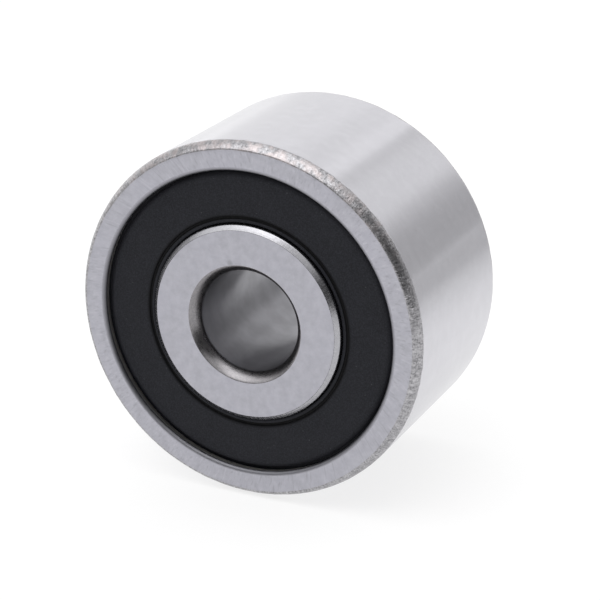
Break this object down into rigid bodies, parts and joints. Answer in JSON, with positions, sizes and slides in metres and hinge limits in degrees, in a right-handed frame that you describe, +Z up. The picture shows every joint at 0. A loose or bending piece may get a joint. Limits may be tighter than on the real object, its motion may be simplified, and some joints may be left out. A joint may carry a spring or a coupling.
{
  "type": "cam follower",
  "caption": "Yoke-type cam follower: thick outer ring on double-row balls, black rubber seals in both ends, plain bore for a stud.",
  "frame": {"origin": "centre of the roller, on its axis, halfway between its two ends", "axes": "+Y along the roller's axis towards the rear end, +Z up with the roller standing on its rim, +X to the right seen from the front end"},
  "size_m": [0.035, 0.02, 0.035],
  "materials": {
    "ring_steel": "ground satin, rough turned corner chamfers",
    "ball_steel": "polished",
    "insert_steel": "cold rolled sheet",
    "cage_polyamide": "moulded, natural polyamide",
    "seal_rubber": "matt moulded nitrile"
  },
  "bodies": {
    "inner": {"inner_ring": "ring_steel"},
    "outer": {"outer_ring": "ring_steel", "front_seal": "seal_rubber", "rear_seal": "seal_rubber", "front_seal_insert": "insert_steel", "rear_seal_insert": "insert_steel"},
    "front_cage": {"front_cage": "cage_polyamide"},
    "rear_cage": {"rear_cage": "cage_polyamide"},
    "front_ball_1": {"front_ball_1": "ball_steel"},
    "front_ball_2": {"front_ball_2": "ball_steel"},
    "front_ball_3": {"front_ball_3": "ball_steel"},
    "front_ball_4": {"front_ball_4": "ball_steel"},
    "front_ball_5": {"front_ball_5": "ball_steel"},
    "front_ball_6": {"front_ball_6": "ball_steel"},
    "front_ball_7": {"front_ball_7": "ball_steel"},
    "front_ball_8": {"front_ball_8": "ball_steel"},
    "front_ball_9": {"front_ball_9": "ball_steel"},
    "rear_ball_1": {"rear_ball_1": "ball_steel"},
    "rear_ball_2": {"rear_ball_2": "ball_steel"},
    "rear_ball_3": {"rear_ball_3": "ball_steel"},
    "rear_ball_4": {"rear_ball_4": "ball_steel"},
    "rear_ball_5": {"rear_ball_5": "ball_steel"},
    "rear_ball_6": {"rear_ball_6": "ball_steel"},
    "rear_ball_7": {"rear_ball_7": "ball_steel"},
    "rear_ball_8": {"rear_ball_8": "ball_steel"},
    "rear_ball_9": {"rear_ball_9": "ball_steel"}
  },
  "joints": [
    {"name": "outer_spin", "type": "hinge", "parent": "inner", "child": "outer", "pos_m": [0, 0, 0], "axis": [0, 1, 0], "continuous": true},
    {"name": "front_cage_spin", "type": "hinge", "parent": "inner", "child": "front_cage", "pos_m": [0, -0.0039, 0], "axis": [0, 1, 0], "continuous": true},
    {"name": "rear_cage_spin", "type": "hinge", "parent": "inner", "child": "rear_cage", "pos_m": [0, 0.0039, 0], "axis": [0, 1, 0], "continuous": true},
    {"name": "front_ball_1_spin", "type": "hinge", "parent": "front_cage", "child": "front_ball_1", "pos_m": [0, -0.0039, 0.0119], "axis": [0, 0.866, -0.5], "continuous": true},
    {"name": "front_ball_2_spin", "type": "hinge", "parent": "front_cage", "child": "front_ball_2", "pos_m": [0.00765, -0.0039, 0.00912], "axis": [-0.3214, 0.866, -0.383], "continuous": true},
    {"name": "front_ball_3_spin", "type": "hinge", "parent": "front_cage", "child": "front_ball_3", "pos_m": [0.01172, -0.0039, 0.00207], "axis": [-0.4924, 0.866, -0.0868], "continuous": true},
    {"name": "front_ball_4_spin", "type": "hinge", "parent": "front_cage", "child": "front_ball_4", "pos_m": [0.01031, -0.0039, -0.00595], "axis": [-0.433, 0.866, 0.25], "continuous": true},
    {"name": "front_ball_5_spin", "type": "hinge", "parent": "front_cage", "child": "front_ball_5", "pos_m": [0.00407, -0.0039, -0.01118], "axis": [-0.171, 0.866, 0.4698], "continuous": true},
    {"name": "front_ball_6_spin", "type": "hinge", "parent": "front_cage", "child": "front_ball_6", "pos_m": [-0.00407, -0.0039, -0.01118], "axis": [0.171, 0.866, 0.4698], "continuous": true},
    {"name": "front_ball_7_spin", "type": "hinge", "parent": "front_cage", "child": "front_ball_7", "pos_m": [-0.01031, -0.0039, -0.00595], "axis": [0.433, 0.866, 0.25], "continuous": true},
    {"name": "front_ball_8_spin", "type": "hinge", "parent": "front_cage", "child": "front_ball_8", "pos_m": [-0.01172, -0.0039, 0.00207], "axis": [0.4924, 0.866, -0.0868], "continuous": true},
    {"name": "front_ball_9_spin", "type": "hinge", "parent": "front_cage", "child": "front_ball_9", "pos_m": [-0.00765, -0.0039, 0.00912], "axis": [0.3214, 0.866, -0.383], "continuous": true},
    {"name": "rear_ball_1_spin", "type": "hinge", "parent": "rear_cage", "child": "rear_ball_1", "pos_m": [0.00407, 0.0039, 0.01118], "axis": [0.171, 0.866, 0.4698], "continuous": true},
    {"name": "rear_ball_2_spin", "type": "hinge", "parent": "rear_cage", "child": "rear_ball_2", "pos_m": [0.01031, 0.0039, 0.00595], "axis": [0.433, 0.866, 0.25], "continuous": true},
    {"name": "rear_ball_3_spin", "type": "hinge", "parent": "rear_cage", "child": "rear_ball_3", "pos_m": [0.01172, 0.0039, -0.00207], "axis": [0.4924, 0.866, -0.0868], "continuous": true},
    {"name": "rear_ball_4_spin", "type": "hinge", "parent": "rear_cage", "child": "rear_ball_4", "pos_m": [0.00765, 0.0039, -0.00912], "axis": [0.3214, 0.866, -0.383], "continuous": true},
    {"name": "rear_ball_5_spin", "type": "hinge", "parent": "rear_cage", "child": "rear_ball_5", "pos_m": [0, 0.0039, -0.0119], "axis": [0, 0.866, -0.5], "continuous": true},
    {"name": "rear_ball_6_spin", "type": "hinge", "parent": "rear_cage", "child": "rear_ball_6", "pos_m": [-0.00765, 0.0039, -0.00912], "axis": [-0.3214, 0.866, -0.383], "continuous": true},
    {"name": "rear_ball_7_spin", "type": "hinge", "parent": "rear_cage", "child": "rear_ball_7", "pos_m": [-0.01172, 0.0039, -0.00207], "axis": [-0.4924, 0.866, -0.0868], "continuous": true},
    {"name": "rear_ball_8_spin", "type": "hinge", "parent": "rear_cage", "child": "rear_ball_8", "pos_m": [-0.01031, 0.0039, 0.00595], "axis": [-0.433, 0.866, 0.25], "continuous": true},
    {"name": "rear_ball_9_spin", "type": "hinge", "parent": "rear_cage", "child": "rear_ball_9", "pos_m": [-0.00407, 0.0039, 0.01118], "axis": [-0.171, 0.866, 0.4698], "continuous": true}
  ],
  "couplings": [
    {"joint": "front_cage_spin", "follows": "outer_spin", "ratio": 0.61553},
    {"joint": "rear_cage_spin", "follows": "outer_spin", "ratio": 0.61553},
    {"joint": "front_ball_1_spin", "follows": "outer_spin", "ratio": 1.774},
    {"joint": "front_ball_2_spin", "follows": "outer_spin", "ratio": 1.774},
    {"joint": "front_ball_3_spin", "follows": "outer_spin", "ratio": 1.774},
    {"joint": "front_ball_4_spin", "follows": "outer_spin", "ratio": 1.774},
    {"joint": "front_ball_5_spin", "follows": "outer_spin", "ratio": 1.774},
    {"joint": "front_ball_6_spin", "follows": "outer_spin", "ratio": 1.774},
    {"joint": "front_ball_7_spin", "follows": "outer_spin", "ratio": 1.774},
    {"joint": "front_ball_8_spin", "follows": "outer_spin", "ratio": 1.774},
    {"joint": "front_ball_9_spin", "follows": "outer_spin", "ratio": 1.774},
    {"joint": "rear_ball_1_spin", "follows": "outer_spin", "ratio": 1.774},
    {"joint": "rear_ball_2_spin", "follows": "outer_spin", "ratio": 1.774},
    {"joint": "rear_ball_3_spin", "follows": "outer_spin", "ratio": 1.774},
    {"joint": "rear_ball_4_spin", "follows": "outer_spin", "ratio": 1.774},
    {"joint": "rear_ball_5_spin", "follows": "outer_spin", "ratio": 1.774},
    {"joint": "rear_ball_6_spin", "follows": "outer_spin", "ratio": 1.774},
    {"joint": "rear_ball_7_spin", "follows": "outer_spin", "ratio": 1.774},
    {"joint": "rear_ball_8_spin", "follows": "outer_spin", "ratio": 1.774},
    {"joint": "rear_ball_9_spin", "follows": "outer_spin", "ratio": 1.774}
  ]
}
